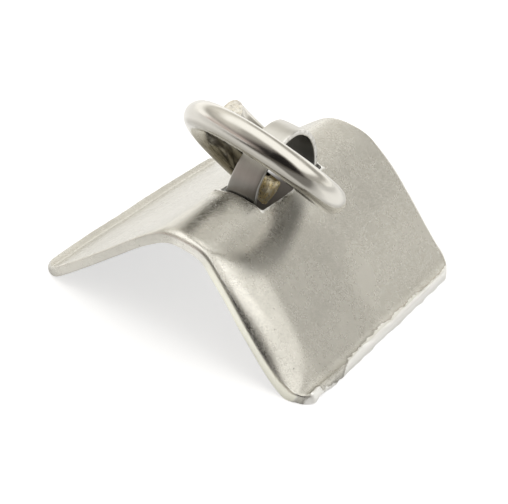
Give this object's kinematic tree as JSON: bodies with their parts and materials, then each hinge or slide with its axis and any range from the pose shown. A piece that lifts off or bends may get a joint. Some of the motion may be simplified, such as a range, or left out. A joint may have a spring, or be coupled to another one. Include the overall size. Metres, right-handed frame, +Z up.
{
  "type": "opened book pendant",
  "caption": "Pendant shaped as an opened book of bent sheet metal, with a strap bail through its spine and an open jump ring to hang it by.",
  "frame": {"origin": "centre of the footprint, at the level of the two fore-edges that the book stands on", "axes": "+Y along the spine towards the far end, +X across the spine to the right cover, +Z up"},
  "size_m": [0.0136, 0.0138, 0.0102],
  "materials": {
    "book_plate": "silver-coloured plating, satin, fine scratches and pits",
    "bail_strap": "silver-coloured, dull, bright rubbed edges",
    "solder": "dull grey solder",
    "jump_ring": "bright round wire, slightly yellow in its reflections, rough cut ends"
  },
  "bodies": {
    "pendant": {"book_plate": "book_plate", "bail_strap": "bail_strap", "solder_near": "solder", "solder_far": "solder"},
    "ring": {"jump_ring": "jump_ring"}
  },
  "joints": [
    {"name": "ring_swing", "type": "hinge", "parent": "pendant", "child": "ring", "pos_m": [0, 0, 0.00548], "axis": [1, 0, 0], "range_deg": [-100, 0]}
  ]
}
